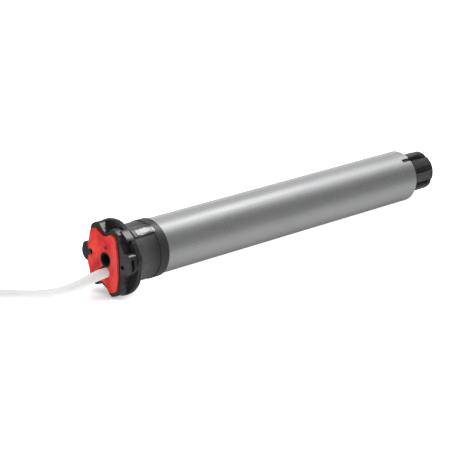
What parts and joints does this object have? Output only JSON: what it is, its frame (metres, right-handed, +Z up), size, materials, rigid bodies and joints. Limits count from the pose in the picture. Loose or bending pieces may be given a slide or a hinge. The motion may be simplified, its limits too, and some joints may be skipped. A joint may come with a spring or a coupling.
{
  "type": "tubular roller blind motor",
  "caption": "Tubular motor for a roller blind: a tube with motor, brake and planetary gearbox, a flanged bracket head, a free-turning crown ring, a lobed drive spindle and a supply cable.",
  "frame": {"origin": "on the motor axis, in the plane of the front of the head, at the mouth of the stud bore", "axes": "+X along the motor axis towards the output spindle, +Z up as the motor lies on its flange and its tube, +Y to the left as seen from the front of the head"},
  "size_m": [0.5858, 0.1306, 0.0673],
  "materials": {
    "black_gloss": "glossy black",
    "red_plate": "satin red",
    "button_red": "dark red",
    "cable_white": "satin white PVC",
    "dark_nylon": "matt dark grey",
    "tie_black": "matt black",
    "core_insulation": "satin, one colour per core",
    "tinned_copper": "tinned",
    "zinc_steel": "zinc plated",
    "seal_rubber": "matt",
    "board_green": "solder mask",
    "natural_nylon": "natural white",
    "magnet_grey": "sintered",
    "crown_grey": "satin dark grey",
    "tube_satin": "satin silver",
    "parts_mixed": "moulded",
    "terminal_green": "moulded",
    "copper_wire": "enamelled",
    "can_white": "moulded",
    "cast_zinc": "die cast",
    "sintered_bronze": "sintered",
    "core_steel": "laminated or turned",
    "machined_steel": "machined",
    "friction_lining": "moulded friction lining",
    "black_plastic": "satin black"
  },
  "bodies": {
    "housing": {"head_body": "black_gloss", "face_plate": "red_plate", "cable_lead_in": "cable_white", "cable_clamp": "dark_nylon", "power_cable": "cable_white", "cable_coil": "cable_white", "cable_tie": "tie_black", "cable_end_cores": "core_insulation", "end_ferrules": "tinned_copper", "neck_adaptor": "dark_nylon", "neck_screws": "zinc_steel", "neck_seal": "seal_rubber", "encoder_board": "board_green", "motor_tube": "tube_satin", "tube_rivets": "zinc_steel", "board_carrier": "natural_nylon", "control_board": "board_green", "board_parts": "parts_mixed", "terminal_block": "terminal_green", "filter_choke": "copper_wire", "run_capacitor": "can_white", "internal_leads": "core_insulation", "front_bell": "cast_zinc", "rear_bell": "cast_zinc", "rotor_bushes": "sintered_bronze", "stator_core": "core_steel", "stator_windings": "copper_wire", "brake_yoke": "core_steel", "brake_coil": "copper_wire", "brake_spring": "machined_steel", "gearbox_cover": "dark_nylon", "ring_gear": "dark_nylon", "end_cap": "black_plastic", "output_bush": "sintered_bronze"},
    "button": {"setting_button": "button_red"},
    "crown": {"crown_ring": "crown_grey", "crown_gear": "natural_nylon"},
    "encoder": {"encoder_pinion": "natural_nylon", "encoder_magnet": "magnet_grey"},
    "rotor": {"rotor_core": "core_steel", "rotor_shaft": "machined_steel", "sun_gear": "machined_steel", "brake_disc": "friction_lining"},
    "armature": {"brake_armature": "core_steel"},
    "carrier_1": {"carrier_1": "machined_steel"},
    "carrier_2": {"carrier_2": "machined_steel"},
    "output": {"output_shaft": "machined_steel", "output_spindle": "black_plastic", "spindle_clip": "zinc_steel"},
    "planet_1a": {"planet_1a": "natural_nylon"},
    "planet_1b": {"planet_1b": "natural_nylon"},
    "planet_1c": {"planet_1c": "natural_nylon"},
    "planet_2a": {"planet_2a": "machined_steel"},
    "planet_2b": {"planet_2b": "machined_steel"},
    "planet_2c": {"planet_2c": "machined_steel"},
    "planet_3a": {"planet_3a": "machined_steel"},
    "planet_3b": {"planet_3b": "machined_steel"},
    "planet_3c": {"planet_3c": "machined_steel"}
  },
  "joints": [
    {"name": "button_press", "type": "slide", "parent": "housing", "child": "button", "axis": [1, 0, 0], "range_m": [0, 0.001], "stiffness_N_per_m": 400, "springref_m": -0.002},
    {"name": "crown_spin", "type": "hinge", "parent": "housing", "child": "crown", "pos_m": [0.0285, 0, 0], "axis": [1, 0, 0], "continuous": true},
    {"name": "encoder_spin", "type": "hinge", "parent": "housing", "child": "encoder", "pos_m": [0.0385, 0.01212, 0.007], "axis": [1, 0, 0], "continuous": true},
    {"name": "rotor_spin", "type": "hinge", "parent": "housing", "child": "rotor", "pos_m": [0.1745, 0, 0], "axis": [1, 0, 0], "continuous": true},
    {"name": "brake_release", "type": "slide", "parent": "housing", "child": "armature", "axis": [-1, 0, 0], "range_m": [0, 0.0004], "stiffness_N_per_m": 3000, "springref_m": -0.002},
    {"name": "carrier_1_spin", "type": "hinge", "parent": "housing", "child": "carrier_1", "pos_m": [0.2675, 0, 0], "axis": [1, 0, 0], "continuous": true},
    {"name": "carrier_2_spin", "type": "hinge", "parent": "housing", "child": "carrier_2", "pos_m": [0.2825, 0, 0], "axis": [1, 0, 0], "continuous": true},
    {"name": "output_spin", "type": "hinge", "parent": "housing", "child": "output", "pos_m": [0.3185, 0, 0], "axis": [1, 0, 0], "continuous": true},
    {"name": "planet_1a_spin", "type": "hinge", "parent": "carrier_1", "child": "planet_1a", "pos_m": [0.261, 0, 0.0108], "axis": [1, 0, 0], "continuous": true},
    {"name": "planet_1b_spin", "type": "hinge", "parent": "carrier_1", "child": "planet_1b", "pos_m": [0.261, -0.00935, -0.0054], "axis": [1, 0, 0], "continuous": true},
    {"name": "planet_1c_spin", "type": "hinge", "parent": "carrier_1", "child": "planet_1c", "pos_m": [0.261, 0.00935, -0.0054], "axis": [1, 0, 0], "continuous": true},
    {"name": "planet_2a_spin", "type": "hinge", "parent": "carrier_2", "child": "planet_2a", "pos_m": [0.2754, 0, 0.0108], "axis": [1, 0, 0], "continuous": true},
    {"name": "planet_2b_spin", "type": "hinge", "parent": "carrier_2", "child": "planet_2b", "pos_m": [0.2754, -0.00935, -0.0054], "axis": [1, 0, 0], "continuous": true},
    {"name": "planet_2c_spin", "type": "hinge", "parent": "carrier_2", "child": "planet_2c", "pos_m": [0.2754, 0.00935, -0.0054], "axis": [1, 0, 0], "continuous": true},
    {"name": "planet_3a_spin", "type": "hinge", "parent": "output", "child": "planet_3a", "pos_m": [0.2923, 0, 0.0108], "axis": [1, 0, 0], "continuous": true},
    {"name": "planet_3b_spin", "type": "hinge", "parent": "output", "child": "planet_3b", "pos_m": [0.2923, -0.00935, -0.0054], "axis": [1, 0, 0], "continuous": true},
    {"name": "planet_3c_spin", "type": "hinge", "parent": "output", "child": "planet_3c", "pos_m": [0.2923, 0.00935, -0.0054], "axis": [1, 0, 0], "continuous": true}
  ],
  "couplings": [
    {"joint": "encoder_spin", "follows": "crown_spin", "ratio": 3.8},
    {"joint": "carrier_1_spin", "follows": "rotor_spin", "ratio": 0.1875},
    {"joint": "carrier_2_spin", "follows": "rotor_spin", "ratio": 0.035156},
    {"joint": "output_spin", "follows": "rotor_spin", "ratio": 0.0065918},
    {"joint": "planet_1a_spin", "follows": "rotor_spin", "ratio": -0.4875},
    {"joint": "planet_1b_spin", "follows": "rotor_spin", "ratio": -0.4875},
    {"joint": "planet_1c_spin", "follows": "rotor_spin", "ratio": -0.4875},
    {"joint": "planet_2a_spin", "follows": "rotor_spin", "ratio": -0.091406},
    {"joint": "planet_2b_spin", "follows": "rotor_spin", "ratio": -0.091406},
    {"joint": "planet_2c_spin", "follows": "rotor_spin", "ratio": -0.091406},
    {"joint": "planet_3a_spin", "follows": "rotor_spin", "ratio": -0.017139},
    {"joint": "planet_3b_spin", "follows": "rotor_spin", "ratio": -0.017139},
    {"joint": "planet_3c_spin", "follows": "rotor_spin", "ratio": -0.017139}
  ]
}
